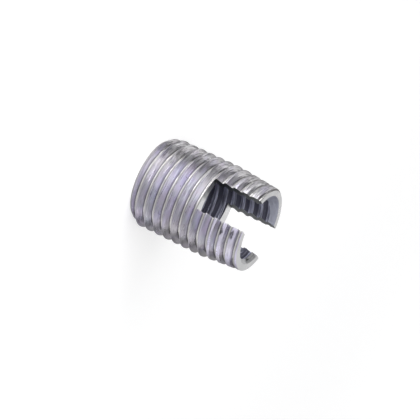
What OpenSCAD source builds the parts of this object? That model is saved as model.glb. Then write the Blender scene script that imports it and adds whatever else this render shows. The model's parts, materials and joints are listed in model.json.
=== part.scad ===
// Slotted self-tapping threaded insert: a turned steel bush with a thread outside and a
// thread inside. It stands on its flat end, with the bore along +Z and the slot across Y.
// Both threads are held here as their plain envelopes: the outside one as the cylinder over
// its crests, and the inside one as the bore inside its crests.

/* [Body] */
// Overall length, from the flat end to the slotted end
body_len = 18; // [14:0.5:24]
// Diameter over the crests of the outside thread
body_d = 14; // [11.5:0.1:18]

/* [Flat end] */
// How much the radius drops over the chamfer round the flat end
rim_drop = 0.9; // [0.1:0.05:1.2]
// Length of that chamfer along the axis
rim_len = 1.2; // [0.2:0.1:2]

/* [Lead] */
// Length of the taper that starts the insert in its hole
lead_len = 6.5; // [2:0.5:8]
// How much the radius drops over that taper
lead_drop = 0.65; // [0.1:0.05:1.2]

/* [Bore] */
// Diameter of the bore inside the crests of the inside thread
bore_d = 8.5; // [6.5:0.1:10.3]
// Width of the countersink at each mouth, equal along the radius and the axis
mouth_chamfer = 1.05; // [0.1:0.05:1.5]

/* [Slot] */
// Width of the cutting slot, which goes straight through both walls
slot_w = 5; // [2:0.1:7]
// Depth of the slot from the slotted end
slot_depth = 7.6; // [3:0.1:10]

/* [Hidden] */
// Sides of a full circle in the preview mesh
$fn = 144;
// How far a cutting shape runs past the face that it opens
overcut = 1;
body_r = body_d / 2;
bore_r = bore_d / 2;
wall = body_r - bore_r;
// The chamfers and the taper keep a flat ring on both ends of a thin wall
rim_cut = min(rim_drop, 0.4 * wall);
lead_cut = min(lead_drop, 0.4 * wall);
mouth_cut = min(mouth_chamfer, 0.45 * wall);

// Half of the blank's section, as [radius, height] points round the wall
section = [
    [bore_r, mouth_cut],
    [bore_r + mouth_cut, 0],
    [body_r - rim_cut, 0],
    [body_r, rim_len],
    [body_r, body_len - lead_len],
    [body_r - lead_cut, body_len],
    [bore_r + mouth_cut, body_len],
    [bore_r, body_len - mouth_cut],
];

// The bush as it is turned: outside, lead, bore and countersinks
module turned_blank() {
    rotate_extrude() polygon(section);
}

// The saw cut that makes the two cutting edges and lets the chips out
module slot_cut() {
    translate([-slot_w / 2, -body_r - overcut, body_len - slot_depth])
        cube([slot_w, body_d + 2 * overcut, slot_depth + overcut]);
}

// The whole insert
module insert_body() {
    color("silver")
        difference() {
            turned_blank();
            slot_cut();
        }
}

insert_body();
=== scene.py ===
# %% [markdown]
# # A self-tapping threaded insert
# A threaded insert is a short steel bush with a thread on its outside and another in its bore.
# It cuts its own way into a plain hole in soft metal or plastic, slotted end first, and then
# gives that hole a strong steel thread. This lesson loads the plain solid from the CAD model,
# threads and slots a blank of the same size in the way a workshop would, plates it with zinc,
# and lights it softly on a pale floor. The CAD model comes first, because the sizes and places
# below come from it.

# %% Load the CAD frame
import bpy
import bmesh
import json
import math
from mathutils import Matrix, Vector

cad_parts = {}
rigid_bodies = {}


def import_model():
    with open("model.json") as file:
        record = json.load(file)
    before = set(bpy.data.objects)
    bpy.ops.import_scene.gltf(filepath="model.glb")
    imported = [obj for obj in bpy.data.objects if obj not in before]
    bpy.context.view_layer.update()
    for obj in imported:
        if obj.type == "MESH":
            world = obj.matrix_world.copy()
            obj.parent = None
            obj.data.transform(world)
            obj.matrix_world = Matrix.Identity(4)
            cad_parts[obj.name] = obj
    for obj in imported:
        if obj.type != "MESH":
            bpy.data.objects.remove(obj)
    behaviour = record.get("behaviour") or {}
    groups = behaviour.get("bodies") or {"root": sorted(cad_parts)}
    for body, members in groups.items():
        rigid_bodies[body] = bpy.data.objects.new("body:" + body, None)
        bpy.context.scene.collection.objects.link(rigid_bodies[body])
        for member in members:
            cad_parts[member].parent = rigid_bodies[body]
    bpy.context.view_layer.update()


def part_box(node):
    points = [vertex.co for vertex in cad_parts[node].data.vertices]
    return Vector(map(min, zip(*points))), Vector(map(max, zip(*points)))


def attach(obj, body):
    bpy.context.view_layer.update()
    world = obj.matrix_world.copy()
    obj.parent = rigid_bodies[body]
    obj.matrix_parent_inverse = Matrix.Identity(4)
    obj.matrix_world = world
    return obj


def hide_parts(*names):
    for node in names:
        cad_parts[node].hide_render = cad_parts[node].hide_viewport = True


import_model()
low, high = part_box("insert_body")
print("insert_body, m:", [round(b - a, 5) for a, b in zip(low, high)])

# %% [markdown]
# ## The sizes
# The length and the diameter over the crests are read from the CAD node, so they can't drift
# apart from it. The rest repeats the CAD model's named sizes in metres. A thread needs a few
# more: its pitch, how deep it is cut, the height at which a crest starts, and its hand. The
# hand is one value, because turning a thread round is a common mistake. With +1 the thread
# climbs anticlockwise seen from above, as on most screws, and with -1 the other way.

# %% Sizes in metres
MM = 0.001
PER_METRE = 1000.0  # millimetres in a metre; the materials count in millimetres
LENGTH = high.z - low.z
CREST_R = (high.x - low.x) / 2
RIM_DROP, RIM_LEN = 0.9 * MM, 1.2 * MM
LEAD_LEN, LEAD_DROP = 6.5 * MM, 0.65 * MM
BORE_R, MOUTH_CHAMFER = 4.25 * MM, 1.05 * MM
SLOT_W, SLOT_DEPTH = 5.0 * MM, 7.6 * MM
PITCH = 1.5 * MM
HAND = -1
OUTER_DEPTH, INNER_DEPTH = 0.88 * MM, 0.75 * MM
OUTER_START, INNER_START = 1.42 * MM, 0.75 * MM
print("turns along the body:", round(LENGTH / PITCH, 2))

# %% [markdown]
# ## The camera
# The insert stands on its flat end, while the camera is rolled on its side, so the insert seems
# to lie with its slotted end to the lower right. A long lens from a good way off keeps the
# turns of the thread nearly parallel. The camera is placed by three directions, right, up and
# back, which are the columns of its matrix. That way the roll needs no second rotation.

# %% Place the camera
def camera_axes(azimuth, elevation, roll):
    """The camera's right, up and back directions, from angles in degrees; roll is clockwise."""
    a, e, r = (math.radians(v) for v in (azimuth, elevation, roll))
    back = Vector((math.sin(a) * math.cos(e), -math.cos(a) * math.cos(e), math.sin(e)))
    level = Vector((math.cos(a), math.sin(a), 0))
    rise = back.cross(level)
    right = math.cos(r) * level + math.sin(r) * rise
    return right, back.cross(right), back


VIEW_AZIMUTH, VIEW_ELEVATION, VIEW_ROLL = 12.41, 20.33, 115.74
DISTANCE, SPAN = 0.2146, 0.06031  # from the aim to the lens, and the width seen at the aim
AIM_HEIGHT, AIM_RIGHT, AIM_DOWN = 9.1 * MM, 0.479 * MM, 0.768 * MM
SENSOR_MM = 36
right, up, back = camera_axes(VIEW_AZIMUTH, VIEW_ELEVATION, VIEW_ROLL)
aim = Vector((0, 0, AIM_HEIGHT)) + right * AIM_RIGHT - up * AIM_DOWN
camera = bpy.data.objects.new("camera", bpy.data.cameras.new("camera"))
bpy.context.scene.collection.objects.link(camera)
camera.matrix_world = Matrix((
    (right.x, up.x, back.x, aim.x + DISTANCE * back.x),
    (right.y, up.y, back.y, aim.y + DISTANCE * back.y),
    (right.z, up.z, back.z, aim.z + DISTANCE * back.z),
    (0, 0, 0, 1),
))
camera.data.sensor_width = SENSOR_MM
camera.data.lens = SENSOR_MM * DISTANCE / SPAN
camera.data.clip_start, camera.data.clip_end = 0.01, 10
bpy.context.scene.camera = camera
print("lens, mm:", round(camera.data.lens, 1))

# %% [markdown]
# ## A mesh from points and faces
# The blank, the threads and the saw's path all start as lists of points and of the faces that
# join them. One helper turns such lists into a mesh object. It joins the points that fall on
# each other, turns all faces outwards and counts the open edges, because the Boolean cuts
# that follow only work on solids without holes.

# %% Helper: make a closed solid
TOUCHING = 2e-7  # metres; points this close are one point


def solid_from(name, points, faces):
    """A mesh object from points and faces; touching points are joined, open edges counted."""
    mesh = bpy.data.meshes.new(name)
    mesh.from_pydata(points, [], faces)
    work = bmesh.new()
    work.from_mesh(mesh)
    bmesh.ops.remove_doubles(work, verts=work.verts, dist=TOUCHING)
    bmesh.ops.dissolve_degenerate(work, edges=work.edges, dist=TOUCHING / 2)
    bmesh.ops.recalc_face_normals(work, faces=work.faces)
    leaks = sum(not edge.is_manifold for edge in work.edges)
    work.to_mesh(mesh)
    work.free()
    print(name, "faces:", len(mesh.polygons), "open edges:", leaks)
    made = bpy.data.objects.new(name, mesh)
    bpy.context.scene.collection.objects.link(made)
    return made


# %% [markdown]
# ## The turned blank
# The blank is what a lathe leaves before threading: a bush with a chamfer at the flat end,
# a long taper at the other, and a countersink at each mouth of the bore. It is one closed
# outline spun round the axis. Along the straight part the outline is kept a little too big,
# because there the thread's own crests give the skin.

# %% Turn the blank
def spun(name, outline, sides):
    """A closed ring: an outline of (radius, height) points spun round the Z axis."""
    count = len(outline)
    points = [
        (r * math.cos(math.tau * j / sides), r * math.sin(math.tau * j / sides), z)
        for j in range(sides) for r, z in outline
    ]
    faces = [
        (j * count + i, (j + 1) % sides * count + i,
         (j + 1) % sides * count + (i + 1) % count, j * count + (i + 1) % count)
        for j in range(sides) for i in range(count)
    ]
    return solid_from(name, points, faces)


SPARE = 0.4 * MM  # how far the straight part stands out past the crests
slope = LEAD_DROP / LEAD_LEN
mouth_r = BORE_R + MOUTH_CHAMFER
blank = spun("blank", [
    (BORE_R, MOUTH_CHAMFER), (mouth_r, 0),
    (CREST_R - RIM_DROP, 0), (CREST_R + SPARE, RIM_LEN * (1 + SPARE / RIM_DROP)),
    (CREST_R + SPARE, LENGTH - LEAD_LEN - SPARE / slope), (CREST_R - LEAD_DROP, LENGTH),
    (mouth_r, LENGTH), (BORE_R, LENGTH - MOUTH_CHAMFER),
], sides=192)
print("lead slope, mm per mm:", round(slope, 3))

# %% [markdown]
# ## Threads
# A thread is one groove wound round a rod. Seen in section, the same outline repeats at each
# pitch, and going round the rod it shifts along by one pitch a turn. So the rod is made of
# columns of points, each a little higher or lower than its neighbour by the hand. The points
# above and below the rod's ends are pushed back onto the ends, where they take the radius that
# the thread has there.

# %% Helpers: the points of a threaded rod
def rod_radius(section, start, height, turn):
    """How far the rod reaches from its axis at a height, that many turns round."""
    ends = section + [(section[0][0] + 1, section[0][1])]
    share = ((height - start) / PITCH - HAND * turn - section[0][0]) % 1 + section[0][0]
    for (share_a, r_a), (share_b, r_b) in zip(ends, ends[1:]):
        if share <= share_b:
            return r_a + (share - share_a) / (share_b - share_a) * (r_b - r_a)
    return ends[-1][1]


def rod_columns(section, start, bottom, top, sides):
    """The points of all columns in a row, and how many points a column has."""
    spare_turns = 3
    first = math.floor((bottom - start) / PITCH) - spare_turns
    turns = math.ceil((top - bottom) / PITCH) + 2 * spare_turns
    rows = [(start + (first + turn + share) * PITCH, r)
            for turn in range(turns) for share, r in section]
    points = []
    for j in range(sides):
        turn = j / sides
        for height, r in rows:
            z = height + HAND * turn * PITCH
            if not bottom <= z <= top:
                z = min(max(z, bottom), top)
                r = rod_radius(section, start, z, turn)
            points.append((r * math.cos(math.tau * turn), r * math.sin(math.tau * turn), z))
    return points, len(rows)


print("each column steps by a whole pitch a turn:", HAND * PITCH, "m")

# %% [markdown]
# ## Closing the rod
# Four-sided faces join each column to the next. Where the last column meets the first, the
# rows are a pitch apart, so the faces there reach one whole section up or down. A hub in the
# middle of each end closes it with a fan of triangles.

# %% Helper: wind a thread on a rod
def threaded_rod(name, section, start, bottom, top, sides):
    """A rod whose section is (share of a pitch, radius) points; start is a crest's height."""
    points, count = rod_columns(section, start, bottom, top, sides)
    faces = []
    for j in range(sides):
        for i in range(count - 1):
            a, b = j * count + i, j * count + i + 1
            c, d = b + count, a + count
            if j == sides - 1:
                shift = HAND * len(section)
                c = min(max(i + 1 + shift, 0), count - 1)
                d = min(max(i + shift, 0), count - 1)
            faces.append((a, d, c, b))
    for z, row in ((bottom, 0), (top, count - 1)):
        hub = len(points)
        points.append((0, 0, z))
        for j in range(sides):
            faces.append((hub, j * count + row, (j + 1) % sides * count + row))
    return solid_from(name, points, faces)


print("helper made:", threaded_rod.__name__)

# %% [markdown]
# ## The section of a thread
# A thread's section is a ridge with two leaning sides, an arc at the crest and an arc at the
# root, because no tool cuts or leaves a perfectly sharp corner. It could be drawn by hand as
# a list of points, but then every size in it would be hidden. So it is worked out from a few
# angles and radii, the same way for both threads.

# %% Outline of one thread
def arc(r0, s0, radius, first, last, steps):
    """Points (along, radius) of an arc in the section, from angle first to last, in degrees."""
    angles = [math.radians(first + (last - first) * i / steps) for i in range(steps + 1)]
    return [(s0 + radius * math.sin(a), r0 + radius * math.cos(a)) for a in angles]


def thread_section(crest, root, crest_round, root_round, crest_flat, leans, steps):
    """(share of a pitch, radius) points of a thread, from the crest's middle on.

    leans are the angles of the side above the crest and of the side below it, in degrees from
    square to the axis.
    """
    sides = []
    for lean in leans:
        tip = arc(crest - crest_round, crest_flat / 2, crest_round, 0, 90 - lean, steps)
        foot = arc(root + root_round, 0, root_round, 270 - lean, 180, steps)
        drop = tip[-1][1] - foot[0][1]
        foot_s = tip[-1][0] + drop * math.tan(math.radians(lean)) - foot[0][0]
        sides.append(tip + [(s + foot_s, r) for s, r in foot])
    above, below = sides
    print("root flat, mm:", round((PITCH - above[-1][0] - below[-1][0]) / MM, 3))
    whole = above + [(PITCH - s, r) for s, r in reversed(below)]
    return [(s / PITCH, r) for s, r in whole]


# %% [markdown]
# ## The outside thread
# This thread cuts its own way into a plain hole. An even 60 degree section has nearly the
# same outline, so the lean of this one is a guess: 39 degrees from square to the axis on the
# side that goes in first, towards the slotted end, and 23 degrees on the side behind it. It
# was chosen because the lean sets the place of the root, and a thin bright line of light
# sits there. The crest is nearly sharp, and the root is a wider arc.

# %% Wind the outside thread
OVERRUN = 0.5 * MM  # how far the rods stand out past both ends of the blank
outer_section = thread_section(
    crest=CREST_R, root=CREST_R - OUTER_DEPTH, crest_round=0.04 * MM, root_round=0.16 * MM,
    crest_flat=0.06 * MM, leans=(39, 23), steps=4)
outer_rod = threaded_rod(
    "outer_rod", outer_section, OUTER_START, -OVERRUN, LENGTH + OVERRUN, sides=144)
print("points in its section:", len(outer_section))

# %% [markdown]
# ## The inside thread
# A tap cuts it, so here it is made with a tap: a rod with an even 60 degree thread, which is
# taken away from the blank. Its valleys are narrower than the bore, so the bore itself is left
# as the flat tops of the inside thread.

# %% Make the tap
tap_section = thread_section(
    crest=BORE_R + INNER_DEPTH, root=BORE_R - 0.15 * MM, crest_round=0.06 * MM,
    root_round=0.04 * MM, crest_flat=0.2 * MM, leans=(30, 30), steps=3)
tap = threaded_rod("tap", tap_section, INNER_START, -OVERRUN, LENGTH + OVERRUN, sides=120)
print("points in its section:", len(tap_section))

# %% [markdown]
# ## The cutting slot
# A slitting saw opens the tapered end from side to side. The slot's two walls become the
# cutting edges where they meet the thread, and the chips fall into the gap. The saw's path is
# a plain box that reaches past the insert, because a cut that ends level with a surface can
# leave slivers.

# %% The saw's path
PAST = 1 * MM  # how far the box reaches past the insert
xs = (-SLOT_W / 2, SLOT_W / 2)
ys = (-CREST_R - PAST, CREST_R + PAST)
zs = (LENGTH - SLOT_DEPTH, LENGTH + PAST)
saw = solid_from("saw", [(x, y, z) for x in xs for y in ys for z in zs],
                 [(0, 1, 3, 2), (4, 6, 7, 5), (0, 4, 5, 1), (2, 3, 7, 6), (0, 2, 6, 4),
                  (1, 5, 7, 3)])
print("slot, width and depth in mm:", round(SLOT_W / MM, 2), round(SLOT_DEPTH / MM, 2))

# %% [markdown]
# ## Cutting
# The blank keeps only what lies inside the threaded rod, then loses the tap and the saw's
# path. Boolean modifiers do this in the order of their stack, and the result is frozen into
# a plain mesh, so that nothing is left to work out when the insert is rendered or exported.

# %% Cut the threads and the slot
for tool, operation in ((outer_rod, "INTERSECT"), (tap, "DIFFERENCE"), (saw, "DIFFERENCE")):
    cut = blank.modifiers.new(tool.name, "BOOLEAN")
    cut.object, cut.operation, cut.solver = tool, operation, "MANIFOLD"


def frozen(piece, name):
    """A plain mesh of a piece with its modifiers worked out."""
    worked_out = piece.evaluated_get(bpy.context.evaluated_depsgraph_get())
    made = bpy.data.meshes.new_from_object(worked_out)
    made.name = name
    return made


mesh = frozen(blank, "insert")
for tool in (blank, outer_rod, tap, saw):
    bpy.data.objects.remove(tool)
print("insert faces:", len(mesh.polygons),
      "triangles:", sum(len(p.vertices) - 2 for p in mesh.polygons))

# %% [markdown]
# ## Even shading
# The cuts leave long thin faces beside large ones. Smooth shading would bend the light across
# all of them, so the sharp edges are marked first, and then the larger faces are given more
# say in the direction of the surface. That keeps the sides of the thread looking flat. The
# result is frozen once more, so the piece carries no modifier.

# %% Shade the insert
SHARP_FROM = 35  # degrees between two faces
mesh.shade_smooth()
mesh.set_sharp_from_angle(angle=math.radians(SHARP_FROM))
insert = bpy.data.objects.new("insert", mesh)
bpy.context.scene.collection.objects.link(insert)
weights = insert.modifiers.new("even shading", "WEIGHTED_NORMAL")
weights.weight = 60  # 50 is neutral; above it the larger faces count for more
weights.keep_sharp = True
bpy.context.view_layer.update()
mesh = frozen(insert, "insert")
insert.modifiers.clear()
insert.data = mesh
print("sharp edges:", sum(edge.use_edge_sharp for edge in mesh.edges))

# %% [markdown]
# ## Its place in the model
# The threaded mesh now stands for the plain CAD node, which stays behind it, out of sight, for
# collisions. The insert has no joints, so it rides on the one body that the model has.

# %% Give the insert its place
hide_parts("insert_body")
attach(insert, "root")
print("insert: rides on root, stands for insert_body")

# %% [markdown]
# ## Tools for materials
# A material is a small network of nodes. Written out one node at a time it gets long, so a few
# helpers do the joining. The first adds a node and fills its inputs, with numbers or with the
# outputs of other nodes. The second gives the result of one sum, because most masks are
# worked out from a few sums.

# %% Helpers: a node and a sum
def add(tree, kind, values=None, **settings):
    """A node of a kind; values fill its inputs, with numbers or with another node's output."""
    made = tree.nodes.new(kind)
    for key, value in settings.items():
        setattr(made, key, value)
    for key, value in (values or {}).items():
        if isinstance(value, bpy.types.NodeSocket):
            tree.links.new(value, made.inputs[key])
        else:
            made.inputs[key].default_value = value
    return made


def sums(tree, operation, *values, clamp=False):
    """The result of a Math node on numbers or outputs."""
    made = add(tree, "ShaderNodeMath", dict(enumerate(values)), operation=operation,
               use_clamp=clamp)
    return made.outputs[0]


print("helpers made:", add.__name__, sums.__name__)

# %% [markdown]
# ## Soft steps and mixed colours
# A finish has few hard borders. A soft step turns a measure, such as a height, into a mask
# with a gentle edge, and a mix lays one colour over another where the mask says. Together
# they take the place of painting by hand.

# %% Helpers: a soft step and a mix
def ease(tree, value, start, end, low=0.0, high=1.0):
    """A smooth change from low to high as value goes from start to end."""
    made = add(tree, "ShaderNodeMapRange", {
        "Value": value, "From Min": start, "From Max": end, "To Min": low, "To Max": high,
    }, interpolation_type="SMOOTHSTEP")
    return made.outputs["Result"]


def blend(tree, share, first, second):
    """A colour between first (share 0) and second (share 1)."""
    made = add(tree, "ShaderNodeMix", data_type="RGBA")
    for socket, value in ((made.inputs[0], share), (made.inputs[6], first),
                          (made.inputs[7], second)):
        if isinstance(value, bpy.types.NodeSocket):
            tree.links.new(value, socket)
        elif socket is made.inputs[0]:
            socket.default_value = value
        else:
            socket.default_value = (*value, 1)
    return made.outputs[2]


print("helpers made:", ease.__name__, blend.__name__)

# %% [markdown]
# ## Node groups
# A finish effect that is needed more than once is a node group: a box of nodes with named
# inputs and outputs. It is built once and then placed as often as needed, each time with its
# own values, so a change inside it reaches every place. One helper starts a group, and the
# other places it and fills its inputs by name.

# %% Helpers: node groups
FLOAT = "NodeSocketFloat"


def start_group(name, inputs, outputs):
    """A node group; inputs are name: (socket type, value) and outputs name: socket type."""
    tree = bpy.data.node_groups.new(name, "ShaderNodeTree")
    for socket, (kind, value) in inputs.items():
        made = tree.interface.new_socket(socket, in_out="INPUT", socket_type=kind)
        made.default_value = value
    for socket, kind in outputs.items():
        tree.interface.new_socket(socket, in_out="OUTPUT", socket_type=kind)
    return tree, tree.nodes.new("NodeGroupInput").outputs, tree.nodes.new("NodeGroupOutput").inputs


def placed(tree, group, **values):
    """The outputs of a group placed in a material, with its inputs given by name."""
    made = add(tree, "ShaderNodeGroup", node_tree=group)
    for key, value in values.items():
        if isinstance(value, bpy.types.NodeSocket):
            tree.links.new(value, made.inputs[key])
        else:
            made.inputs[key].default_value = value
    return made.outputs


print("helpers made:", start_group.__name__, placed.__name__)

# %% [markdown]
# ## Where a point is on the thread
# Most of what can be seen on the insert follows its thread: tool marks run along it, its
# crests are dull and the foot of each groove is dark. So the first group works out four
# numbers for each point of the surface: its distance from the axis and its height, in
# millimetres, how far round the axis it lies, in turns, and its phase. The phase is how far
# along the thread's section the point is, counted in pitches from a crest, and it is what
# makes a pattern climb with the thread.

# %% Node group: place on the thread
place, given, result = start_group("place on the thread", {
    "Pitch": (FLOAT, PER_METRE * PITCH), "Start": (FLOAT, 0.0), "Hand": (FLOAT, float(HAND)),
}, {"Radius": FLOAT, "Turn": FLOAT, "Phase": FLOAT, "Height": FLOAT})
spot = add(place, "ShaderNodeTexCoord").outputs["Object"]
spot = add(place, "ShaderNodeVectorMath", {0: spot, "Scale": PER_METRE},
           operation="SCALE").outputs[0]
split = add(place, "ShaderNodeSeparateXYZ", {0: spot}).outputs
flat_spot = add(place, "ShaderNodeCombineXYZ", {0: split[0], 1: split[1]}).outputs[0]
turn = sums(place, "DIVIDE", sums(place, "ARCTAN2", split[1], split[0]), math.tau)
climb = sums(place, "DIVIDE", sums(place, "SUBTRACT", split[2], given["Start"]), given["Pitch"])
phase = sums(place, "SUBTRACT", climb, sums(place, "MULTIPLY", turn, given["Hand"]))
radius = add(place, "ShaderNodeVectorMath", {0: flat_spot}, operation="LENGTH").outputs["Value"]
for name, output in (("Radius", radius), ("Turn", turn), ("Phase", phase), ("Height", split[2])):
    place.links.new(output, result[name])
print("group:", place.name)

# %% [markdown]
# ## Tool marks
# The thread-cutting tool leaves fine scratches that run along the thread. They are noise that
# changes fast across the groove, by Fineness, and slowly along it, by Shortness. A pattern
# wound on a helix has to meet itself after a turn, so neither the phase nor the turn is used
# as it is: their sines and cosines are, which are the same one turn further on. A little of
# the height is mixed in, so that no two turns have the same marks.

# %% Node group: tool marks
marks, given, result = start_group("tool marks", {
    "Phase": (FLOAT, 0.0), "Turn": (FLOAT, 0.0), "Height": (FLOAT, 0.0),
    "Fineness": (FLOAT, 3.0), "Shortness": (FLOAT, 2.0), "Detail": (FLOAT, 3.0),
    "Seed": (FLOAT, 0.0),
}, {"Value": FLOAT})
angle = sums(marks, "MULTIPLY", given["Phase"], math.tau)
around = sums(marks, "MULTIPLY", given["Turn"], math.tau)
across_a = sums(marks, "MULTIPLY", sums(marks, "SINE", angle), given["Fineness"])
across_b = sums(marks, "MULTIPLY", sums(marks, "COSINE", angle), given["Fineness"])
along_a = sums(marks, "MULTIPLY", sums(marks, "SINE", around), given["Shortness"])
along_b = sums(marks, "MULTIPLY", sums(marks, "COSINE", around), given["Shortness"])
DRIFT = 0.6  # a millimetre of height
drift = sums(marks, "MULTIPLY_ADD", given["Height"], DRIFT, given["Seed"])
noise = add(marks, "ShaderNodeTexNoise", {
    "Vector": add(marks, "ShaderNodeCombineXYZ", {0: across_a, 1: across_b, 2: along_a}).outputs[0],
    "W": sums(marks, "ADD", along_b, drift), "Scale": 1.0, "Detail": given["Detail"],
    "Roughness": 0.6,
}, noise_dimensions="4D")
marks.links.new(noise.outputs[0], result["Value"])
print("group:", marks.name)

# %% [markdown]
# ## Cloudy changes
# Plating is never quite even. It is a little thicker here and thinner there, and its clear
# film takes on faint tints. A soft cloud of noise in space gives such slow changes, and a
# smaller one with a steep threshold gives specks of dirt. Size is how big a cloud is, in
# millimetres, and From and To are where the mask starts and where it is full.

# %% Node group: clouds
clouds, given, result = start_group("clouds", {
    "Size": (FLOAT, 3.0), "Seed": (FLOAT, 0.0), "From": (FLOAT, 0.4), "To": (FLOAT, 0.6),
    "Detail": (FLOAT, 2.0),
}, {"Value": FLOAT})
spot = add(clouds, "ShaderNodeTexCoord").outputs["Object"]
noise = add(clouds, "ShaderNodeTexNoise", {
    "Vector": spot, "W": given["Seed"], "Scale": sums(clouds, "DIVIDE", PER_METRE, given["Size"]),
    "Detail": given["Detail"], "Roughness": 0.5,
}, noise_dimensions="4D")
edge = add(clouds, "ShaderNodeMapRange", {
    "Value": noise.outputs[0], "From Min": given["From"], "From Max": given["To"],
}, interpolation_type="SMOOTHSTEP").outputs["Result"]
clouds.links.new(edge, result["Value"])
print("group:", clouds.name)

# %% [markdown]
# ## Blots
# This group makes a dark, slightly ragged blot at a place that is named by its angle and its
# height, because clouds would put such blots anywhere. It is a soft ellipse, Length long round
# the insert and Width wide along the axis, in millimetres, and a fine noise that pushes each
# point aside makes its edge ragged.
# The push, up to half a millimetre, only ever adds, so a blot lands a quarter of a
# millimetre lower than its named height. It is full within half of its size and gone a
# fifth outside it.

# %% Node group: blot
blot, given, result = start_group("blot", {
    "Angle": (FLOAT, 0.0), "Height": (FLOAT, 0.0), "Length": (FLOAT, 1.7), "Width": (FLOAT, 0.6),
}, {"Value": FLOAT})
PUSH, RAGGED_SIZE = 0.5 * MM, 0.4 * MM
spot = add(blot, "ShaderNodeTexCoord").outputs["Object"]
ragged = add(blot, "ShaderNodeTexNoise", {"Vector": spot, "Scale": 1 / RAGGED_SIZE}).outputs["Color"]
spot = add(blot, "ShaderNodeVectorMath", {0: ragged, 1: (PUSH, PUSH, PUSH), 2: spot},
           operation="MULTIPLY_ADD").outputs[0]
split = add(blot, "ShaderNodeSeparateXYZ", {0: spot}).outputs
turn = sums(blot, "ARCTAN2", split[1], split[0])
off = sums(blot, "SUBTRACT", turn, sums(blot, "RADIANS", given["Angle"]))
off = sums(blot, "DIVIDE", sums(blot, "MULTIPLY", off, 2 * PER_METRE * CREST_R), given["Length"])
rise = sums(blot, "SUBTRACT", sums(blot, "MULTIPLY", split[2], PER_METRE), given["Height"])
rise = sums(blot, "DIVIDE", sums(blot, "MULTIPLY", rise, 2.0), given["Width"])
far = sums(blot, "SQRT", sums(blot, "MULTIPLY_ADD", off, off, sums(blot, "MULTIPLY", rise, rise)))
blot.links.new(ease(blot, far, 1.2, 0.5), result["Value"])
print("group:", blot.name)

# %% [markdown]
# ## Zinc plating
# The steel is plated with zinc and dipped in a clear bath, which leaves a thin film with a
# cool lilac tint. All of it is one metal, so one Principled shader does for every surface,
# and masks change its colour and roughness from place to place. A mask is a number from 0 to
# 1. What is the same all over is set on the shader itself: it is metal everywhere, and the
# film darkens it where the surface turns away from the eye, which is what a dark Specular
# Tint does on a metal.

# %% Start the plating
zinc = bpy.data.materials.new("zinc_plate")
zinc.use_nodes = True
net = zinc.node_tree
shader = net.nodes["Principled BSDF"]
shader.inputs["Metallic"].default_value = 1
shader.inputs["Specular Tint"].default_value = (0.3, 0.3, 0.3, 1)
mesh.materials.clear()
mesh.materials.append(zinc)
print("material:", zinc.name)

# %% [markdown]
# ## Masks along the outside thread
# The crests are painted darker than the sides, as painted shade. The side of the thread towards
# the slotted end is painted lighter down to its foot, as painted sheen, and the foot itself is
# painted dark, as painted shade. Beside that, the rounded root gets a tone of its own, which
# paints in part of the bright line of light that lies there. Distance from the axis and how far
# the surface faces up are enough to tell these apart. Faces that look straight up are the flat
# ones: the slotted end and the slot's bottom.

# %% Masks: crest, side, foot and root
outside = placed(net, place, Start=PER_METRE * OUTER_START)
crest, root = PER_METRE * CREST_R, PER_METRE * (CREST_R - OUTER_DEPTH)
normal = add(net, "ShaderNodeTexCoord").outputs["Normal"]
faces_up = add(net, "ShaderNodeSeparateXYZ", {0: normal}).outputs[2]
level = ease(net, faces_up, 0.88, 0.95)
# where the crests get their painted shade
on_crest = ease(net, outside["Radius"], crest - 0.16, crest - 0.03)
# the side that faces the slotted end, which gets a painted sheen
upper_side = sums(net, "MULTIPLY", ease(net, faces_up, 0.5, 0.8), ease(net, faces_up, 0.96, 0.9))
# the foot of the groove, where painted shade goes
low_down = ease(net, outside["Radius"], root + 0.22, root + 0.08)
at_foot = sums(net, "MULTIPLY", low_down, ease(net, faces_up, 0.25, 0.5))
at_foot = sums(net, "SUBTRACT", at_foot, level, clamp=True)
# the root, whose tone paints in part of its bright line of light
near_root = ease(net, outside["Radius"], root + 0.18, root + 0.08)
in_root = sums(net, "MULTIPLY", near_root, ease(net, faces_up, 0.45, 0.2))
print("root and crest radius, mm:", round(root, 2), round(crest, 2))

# %% [markdown]
# ## Masks for the slot
# The slot is a place in space, so its mask comes from its own size: it is what lies within
# half the slot's width of the middle plane and above its bottom. Its walls are the part that
# doesn't face up, and a narrow strip outside it is where its edges get a painted highlight.
# The small numbers say where each soft edge starts and ends, in millimetres.

# %% Masks: slot
spot = add(net, "ShaderNodeTexCoord").outputs["Object"]
across_slot = add(net, "ShaderNodeSeparateXYZ", {0: spot}).outputs[0]
from_middle = sums(net, "MULTIPLY", sums(net, "ABSOLUTE", across_slot), PER_METRE)
slot_side, slot_floor = PER_METRE * SLOT_W / 2, PER_METRE * (LENGTH - SLOT_DEPTH)
in_slot = sums(net, "MULTIPLY", ease(net, from_middle, slot_side + 0.02, slot_side + 0.002),
               ease(net, outside["Height"], slot_floor - 0.02, slot_floor - 0.002))
slot_wall = sums(net, "MULTIPLY", in_slot, ease(net, faces_up, 0.7, 0.3))
# the slot's edges, where a painted highlight goes
slot_edge = sums(net, "MULTIPLY", ease(net, from_middle, slot_side + 0.22, slot_side + 0.06),
                 ease(net, outside["Height"], slot_floor - 0.15, slot_floor))
print("slot's side and bottom, mm:", round(slot_side, 2), round(slot_floor, 2))

# %% [markdown]
# ## Masks for the mouths and the bore
# The two countersinks are 45 degree cones, on which height and radius have a fixed sum or a
# fixed difference, so two sums find them. The bore is what is left between them, inside the
# mouths' radius and outside the slot. Measured like this, both masks follow the sizes when
# those are changed.

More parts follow.
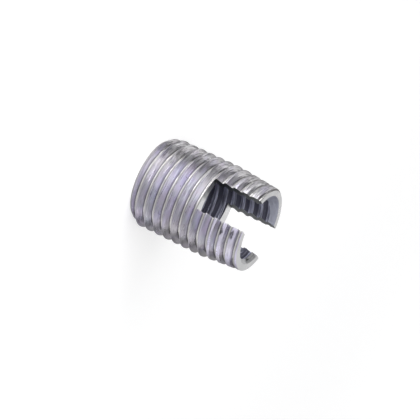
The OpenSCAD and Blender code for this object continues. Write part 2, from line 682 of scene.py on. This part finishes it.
# %% Masks: mouths and bore
mouth_edge, top = PER_METRE * mouth_r, PER_METRE * LENGTH
below_mouth = ease(net, sums(net, "SUBTRACT", outside["Height"], outside["Radius"]),
                   top - mouth_edge - 0.03, top - mouth_edge - 0.1)
above_mouth = ease(net, sums(net, "ADD", outside["Height"], outside["Radius"]),
                   mouth_edge + 0.03, mouth_edge + 0.1)
between_mouths = sums(net, "MULTIPLY", below_mouth, above_mouth)
in_mouth = sums(net, "MULTIPLY", ease(net, outside["Radius"], mouth_edge + 0.01, mouth_edge - 0.03),
                sums(net, "SUBTRACT", 1.0, between_mouths))
in_bore = sums(net, "MULTIPLY", between_mouths,
               ease(net, outside["Radius"], mouth_edge + 0.05, mouth_edge - 0.05))
in_bore = sums(net, "MULTIPLY", in_bore, sums(net, "SUBTRACT", 1.0, in_slot))
print("mouths' radius, mm:", round(mouth_edge, 2))

# %% [markdown]
# ## Marks and dirt
# The group of tool marks is placed four times: streaks, broader scratches, fine marks that
# place the painted glints, and the tap's streaks along the inside thread. Each has its own
# seed, so they don't fall on each other. Clouds give the specks and the worn patches. Two
# blots lie near the slot, about one turn of the thread apart, and a larger one in the
# countersink of the same half.

# %% Masks: marks, specks and blots
def marks_along(thread, **values):
    """Tool marks that run along one of the two threads."""
    return placed(net, marks, Phase=thread["Phase"], Turn=thread["Turn"],
                  Height=thread["Height"], **values)["Value"]


inside = placed(net, place, Start=PER_METRE * INNER_START)
streaks = marks_along(outside, Fineness=1.5, Shortness=2.2)
scratches = marks_along(outside, Fineness=1.1, Shortness=3.0, Detail=2.0, Seed=3.0)
# thin bright lines for painted glints
scrape_glints = ease(net, marks_along(outside, Fineness=2.6, Shortness=2.4, Detail=1.0, Seed=21.0),
               0.5, 0.62)
bore_streaks = marks_along(inside, Fineness=1.6, Shortness=1.5, Seed=7.0)
specks = placed(net, clouds, Size=0.26, Seed=5.0, From=0.78, To=0.82, Detail=0.0)["Value"]
worn = placed(net, clouds, Size=2.2, Seed=8.0, From=0.45, To=0.62)["Value"]
dark_blots = sums(net, "MAXIMUM", placed(net, blot, Angle=-54.0, Height=15.2)["Value"],
              placed(net, blot, Angle=-54.0, Height=16.85)["Value"])
mouth_blot = placed(net, blot, Angle=42.0, Height=17.9, Length=4.2, Width=1.2)["Value"]
print("marks, specks and stains placed, nodes so far:", len(net.nodes))

# %% [markdown]
# ## The film
# The film is thickest on one side of the insert, where its lilac is strongest, and thins out
# to nearly plain metal. Another side has rubbed against its neighbours, and most scratches
# are there. Their dark colour is laid on thickly on that side, which also paints shade onto it
# like a dark reflection, and the bright lines there are painted glints. Both are given by a
# direction round the axis, with a cloud added so that neither ends in a straight line. Faint
# pink and green clouds lie in the lilac.

# %% Masks and tints: the film
def towards(tree, degrees):
    """How far a point lies on the side at an angle round the axis: 1 there, -1 opposite."""
    spot = add(tree, "ShaderNodeTexCoord").outputs["Object"]
    flat = add(tree, "ShaderNodeVectorMath", {0: spot, 1: (1.0, 1.0, 0.0)},
               operation="MULTIPLY").outputs[0]
    way = add(tree, "ShaderNodeVectorMath", {0: flat}, operation="NORMALIZE").outputs[0]
    side = (math.cos(math.radians(degrees)), math.sin(math.radians(degrees)), 0.0)
    return add(tree, "ShaderNodeVectorMath", {0: way, 1: side},
               operation="DOT_PRODUCT").outputs["Value"]


# the rubbed side is also where painted shade and painted glints gather
FILM_SIDE, RUBBED_AND_SHADED_SIDE = -65, 172
LILAC, PINK, GREEN = (0.556, 0.528, 0.68), (0.607, 0.527, 0.6), (0.518, 0.576, 0.598)
uneven = placed(net, clouds, Size=3.0, Seed=2.0, From=0.3, To=0.7)["Value"]
film = ease(net, sums(net, "MULTIPLY_ADD", uneven, 0.9, towards(net, FILM_SIDE)), 0.35, 1.7)
# the rubbed side, where thick dark scratches also paint shade and bright lines are painted glints
rubbed_and_shaded = ease(net, sums(net, "MULTIPLY_ADD", uneven, -0.3, towards(net, RUBBED_AND_SHADED_SIDE)), -0.15, 0.55)
blush = placed(net, clouds, Size=2.6, Seed=11.0, From=0.46, To=0.62)["Value"]
green = placed(net, clouds, Size=2.0, Seed=14.0, From=0.48, To=0.64)["Value"]
lilac = blend(net, sums(net, "MULTIPLY", blush, 0.5), LILAC, PINK)
lilac = blend(net, sums(net, "MULTIPLY", green, 0.5), lilac, GREEN)
print("film thickest at", FILM_SIDE, "degrees, rubbed at", RUBBED_AND_SHADED_SIDE)

# %% [markdown]
# ## Colours of the outside thread
# The colours are laid over each other like coats, each with its mask and a strength: first
# the film on the sides, with a lighter tone on the side that faces up as painted sheen, then
# the crests and the feet painted dark as painted shade, and last the roots' own tone, which
# paints in part of a bright line of light. The root's tone is a little duller where the film
# is thick.

# %% Colour: the outside thread
def over(colour, tone, *shares):
    """The colour with a tone laid over it, as strongly as the product of the shares says."""
    strength = shares[0]
    for share in shares[1:]:
        strength = sums(net, "MULTIPLY", strength, share)
    return blend(net, strength, colour, tone)


BARE, FILMED = (0.545, 0.53, 0.548), (0.513, 0.49, 0.612)
# a lighter tone, painted sheen on the side that faces up
BARE_PAINTED_SHEEN = (0.588, 0.57, 0.585)
# painted shade for the crests and for the feet of the grooves
CREST_PAINTED_SHADE, FOOT_PAINTED_SHADE = (0.306, 0.29, 0.325), (0.144, 0.144, 0.137)
# root tones that paint in part of the root's bright line of light
BARE_ROOT_PAINTED_LIGHT, FILMED_ROOT_PAINTED_LIGHT = (0.6, 0.59, 0.575), (0.44, 0.433, 0.422)
colour = blend(net, film, BARE, FILMED)
# painted sheen: the side that faces up is painted lighter
colour = over(colour, blend(net, film, BARE_PAINTED_SHEEN, lilac), upper_side)
# painted shade: the crests are painted darker than the sides
colour = over(colour, CREST_PAINTED_SHADE, on_crest, 0.5)
# painted shade: the foot of each groove is painted dark
colour = over(colour, FOOT_PAINTED_SHADE, at_foot, 0.75)
# painted light: the root's tone stands in for part of its bright line
colour = over(colour, blend(net, film, BARE_ROOT_PAINTED_LIGHT, FILMED_ROOT_PAINTED_LIGHT), in_root)
print("coats on the thread: sides, crests, feet, roots")

# %% [markdown]
# ## Wear, dirt, painted shade and painted glints
# On the rubbed side, dark scratches and thin bright lines lie side by side, so they look sharp.
# There the dark scratches also paint shade onto that side, and the bright lines are painted
# glints. Elsewhere only a few dark ones show, mostly in the worn patches. The blots are broken
# up by the scratches under them.

# %% Colour: scratches, painted glints, blots and specks
# a dark scratch colour, and a bright colour for painted glints
DARK_SCRATCH, SCRAPE_GLINT = (0.15, 0.15, 0.155), (0.78, 0.78, 0.79)
DARK_BLOT, SPECK = (0.035, 0.035, 0.04), (0.0864, 0.0864, 0.072)
# dark scratches, laid on thickly on the rubbed side, where they also paint shade
scratch_and_shade_share = sums(net, "MULTIPLY_ADD", rubbed_and_shaded, 0.45, 0.15)
scratch_and_shade_share = sums(net, "MULTIPLY_ADD", worn, 0.2, scratch_and_shade_share)
glint_share = sums(net, "MULTIPLY_ADD", rubbed_and_shaded, 0.8, 0.05)
colour = over(colour, DARK_SCRATCH, ease(net, scratches, 0.52, 0.36), scratch_and_shade_share)
# painted glints: thin bright lines, mostly on the rubbed side
colour = over(colour, SCRAPE_GLINT, scrape_glints, glint_share)
colour = over(colour, DARK_BLOT, dark_blots, ease(net, scratches, 0.6, 0.4, 0.55, 0.95))
colour = over(colour, SPECK, specks, 0.7)
print("coats of wear: scratches, scrapes, stains, specks")

# %% [markdown]
# ## The end, the slot and the bore
# The face of the slotted end and the slot's bottom look straight up, and they are painted
# lighter than the thread's sides, as painted light. A narrow strip along the slot is painted
# bright, as a painted highlight on its edges. The slot's walls are sawn, and they are painted
# dark, as painted shade. The bore's sides are painted by the way they face: light and bluish
# where they face the flat end, as painted light, and nearly blue-black where they face the
# slotted end, as painted shade, with the tap's streaks along both.

# %% Colour: the end, the slot and the bore
# painted light for the faces that look up, and a painted highlight for the slot's edges
END_FACE_PAINTED_LIGHT, SLOT_EDGE_HIGHLIGHT = (0.6, 0.6, 0.605), (0.698, 0.698, 0.698)
# painted light and painted shade for the bore's sides
BORE_PAINTED_LIGHT, BORE_PAINTED_SHADE = (0.65, 0.66, 0.79), (0.135, 0.135, 0.175)
STREAK_DARK, STREAK_LIGHT = (0.13, 0.13, 0.17), (0.576, 0.576, 0.648)
# painted shade for the slot's walls
SLOT_WALL_PAINTED_SHADE = (0.19, 0.195, 0.205)
# painted light: faces that look straight up are painted lighter
colour = over(colour, END_FACE_PAINTED_LIGHT, level)
# painted highlight along the slot's edges
colour = over(colour, SLOT_EDGE_HIGHLIGHT, slot_edge, 0.6)
# painted light where the bore faces the flat end, painted shade where it faces the slotted end
bore = blend(net, ease(net, faces_up, 0.3, 0.6), BORE_PAINTED_LIGHT, BORE_PAINTED_SHADE)
bore = over(bore, STREAK_DARK, ease(net, bore_streaks, 0.55, 0.35, 0, 0.8))
bore = over(bore, STREAK_LIGHT, ease(net, bore_streaks, 0.6, 0.7, 0, 0.6))
colour = over(colour, bore, in_bore)
# painted shade: the slot's walls are painted dark
colour = over(colour, SLOT_WALL_PAINTED_SHADE, slot_wall)
print("coats inside: end, slot edge, bore, slot walls")

# %% [markdown]
# ## The countersinks
# The two halves of the slotted end's countersink differ: one is grey, with a dark blot in it,
# and the other is bluish. A soft step across the insert turns one into the other. Most of it
# falls inside the slot's width, where the slotted end has no metal to show it.

# %% Colour: the countersinks
MOUTH_BLUE, MOUTH_GREY, MOUTH_BLOT = (0.38, 0.39, 0.46), (0.60, 0.60, 0.61), (0.03, 0.03, 0.035)
half = ease(net, across_slot, 1 * MM, 3 * MM)
mouth = blend(net, half, MOUTH_BLUE, MOUTH_GREY)
mouth = over(mouth, MOUTH_BLOT, mouth_blot, ease(net, scratches, 0.6, 0.4, 0.4, 1))
colour = over(colour, mouth, in_mouth)
net.links.new(colour, shader.inputs["Base Color"])
print("colour joined to the shader, nodes:", len(net.nodes))

# %% [markdown]
# ## Sheen and relief
# Plated metal isn't a mirror. Its streaks alternate between a little smoother and a little
# rougher, and the bore and the countersinks are rougher still. The scratches and streaks also
# have a very small depth, more of it on the rubbed side, so the masks feed the Height of a
# Bump node. The depth is too small for real geometry to be worth its triangles.

# %% Roughness and bump
roughness = ease(net, streaks, 0.3, 0.7, 0.34, 0.26)
roughness = sums(net, "MULTIPLY_ADD", in_bore, 0.2, roughness)
roughness = sums(net, "MULTIPLY_ADD", in_mouth, 0.3, roughness)
net.links.new(roughness, shader.inputs["Roughness"])
relief = sums(net, "MULTIPLY", sums(net, "ADD", scratches, streaks),
              sums(net, "MULTIPLY_ADD", rubbed_and_shaded, 0.5, 0.4))
scratch = add(net, "ShaderNodeBump", {"Height": relief, "Strength": 1.0, "Distance": 0.14 * MM})
net.links.new(scratch.outputs["Normal"], shader.inputs["Normal"])
print("plating:", len(net.nodes), "nodes")

# %% [markdown]
# ## The floor
# The insert stands on a plain grey board, so large that its edge is far out of view. It takes
# the lamps' light and the insert's soft shadow as paper would. It has no gloss, because a
# shine on it would draw the eye away from the metal.

# %% Make the floor
HALF_FLOOR = 3  # metres
corners = [(-HALF_FLOOR, -HALF_FLOOR, 0), (HALF_FLOOR, -HALF_FLOOR, 0),
           (HALF_FLOOR, HALF_FLOOR, 0), (-HALF_FLOOR, HALF_FLOOR, 0)]
floor_mesh = bpy.data.meshes.new("floor")
floor_mesh.from_pydata(corners, [], [(0, 1, 2, 3)])
floor = bpy.data.objects.new("floor", floor_mesh)
bpy.context.scene.collection.objects.link(floor)
paint = bpy.data.materials.new("floor")
paint.use_nodes = True
floor_mesh.materials.append(paint)
board = paint.node_tree.nodes["Principled BSDF"]
board.inputs["Base Color"].default_value = (0.6, 0.6, 0.6, 1)
board.inputs["Roughness"].default_value = 1
board.inputs["Specular IOR Level"].default_value = 0
board.inputs["Emission Color"].default_value = (1, 1, 1, 1)
print("floor, m across:", 2 * HALF_FLOOR)

# %% [markdown]
# ## The floor's glow
# A board that was white by its lamps alone would have to be lit too strongly for the metal.
# So the grey board also glows, but only for rays that look at it: those from the camera, from
# shiny surfaces and through glass, which Light Path tells apart. It throws no light back onto
# the board, so the shadow stays. It is weaker near the insert, where the lamps add their own
# light, and reaches full white further out.

# %% Make the floor glow
GLOW_NEAR, GLOW_FAR = 0.48, 1.0
floor_net = paint.node_tree
rays = add(floor_net, "ShaderNodeLightPath").outputs
looking = sums(floor_net, "MAXIMUM", rays["Is Camera Ray"], rays["Is Glossy Ray"])
looking = sums(floor_net, "MAXIMUM", looking, rays["Is Transmission Ray"])
spot = add(floor_net, "ShaderNodeTexCoord").outputs["Object"]
away = add(floor_net, "ShaderNodeVectorMath", {0: spot}, operation="LENGTH").outputs["Value"]
glow = sums(floor_net, "MULTIPLY", looking, ease(floor_net, away, 0.1, 0.7, GLOW_NEAR, GLOW_FAR))
floor_net.links.new(glow, board.inputs["Emission Strength"])
print("floor's glow, near and far:", GLOW_NEAR, GLOW_FAR)

# %% [markdown]
# ## The surroundings
# A metal surface shows what is around it, so the surroundings matter as much as its colour.
# Near the horizon they are white and run on from the floor without a line. Higher up they
# are dim, like the ceiling of a studio, and that leaves the dark gaps between the lamps
# that give the metal its dark bands.

# %% Make the surroundings
WHITE, DIM = (1, 1, 1), (0.08, 0.08, 0.085)
world = bpy.data.worlds.new("studio")
bpy.context.scene.world = world
world.use_nodes = True
world_net = world.node_tree
sky = world_net.nodes["Background"]
way = add(world_net, "ShaderNodeTexCoord").outputs["Generated"]
rise = add(world_net, "ShaderNodeSeparateXYZ", {0: way}).outputs[2]
air = blend(world_net, ease(world_net, rise, 0.1, 0.3), WHITE, DIM)
world_net.links.new(air, sky.inputs["Color"])
sky.inputs["Strength"].default_value = 1
print("world:", world.name)

# %% [markdown]
# ## The lamps
# Soft lamps stand round the insert like the white cloths of a studio tent. Each one shows as
# a bright patch in the sides of the thread, so where it stands matters more than how much
# light it gives. Its brightness is how bright it looks from the insert, and its power is
# worked out from that and from its size, so a lamp can be made wider without making its
# reflection brighter.

# %% Helper: a soft lamp
LIGHT_LEVEL = 1.4
LAMP_DISTANCE = 0.6  # metres


def softbox(name, azimuth, elevation, width, height, brightness):
    """A rectangular lamp that faces the insert; azimuth 0 is opposite the slot's near opening."""
    a, e = math.radians(azimuth), math.radians(elevation)
    way = Vector((math.sin(a) * math.cos(e), -math.cos(a) * math.cos(e), math.sin(e)))
    light = bpy.data.lights.new(name, "AREA")
    light.shape, light.size, light.size_y = "RECTANGLE", width, height
    light.energy = LIGHT_LEVEL * math.pi * width * height * brightness
    lamp = bpy.data.objects.new(name, light)
    lamp.location = way * LAMP_DISTANCE
    lamp.rotation_euler = way.to_track_quat("Z", "Y").to_euler()
    bpy.context.scene.collection.objects.link(lamp)
    print(name, "power, W:", round(light.energy, 2))


# %% [markdown]
# ## A ring of lamps
# The lamps are named as someone sees them who stands before the slot's near opening. The low
# ones and the white surroundings show in the roots, the high ones show in the sides that face
# up, and one stands nearly overhead. The face of the slotted end mirrors the lamp at the
# back. The Standard view shows every colour as it comes out of the light.

# %% Light the insert
LAMPS = (  # name, azimuth, elevation, width, height, brightness
    ("front left", -45, 15, 0.32, 0.32, 2.6), ("front", -15, 15, 0.32, 0.32, 3.3),
    ("front right", 15, 15, 0.32, 0.32, 1.6), ("right", 110, 15, 0.36, 0.32, 1.3),
    ("back", 194, 18, 0.32, 0.32, 1.2), ("high left", -30, 45, 0.32, 0.32, 1.6),
    ("high front", 15, 45, 0.32, 0.32, 1.9), ("high right", 70, 45, 0.4, 0.32, 0.55),
    ("high back", 135, 45, 0.32, 0.32, 0.65), ("far left", 232, 30, 0.42, 0.32, 0.84),
    ("top", -40, 77, 0.42, 0.36, 0.58),
)
for lamp in LAMPS:
    softbox(*lamp)
print("lamps:", len(LAMPS))
bpy.context.scene.view_settings.view_transform = "Standard"
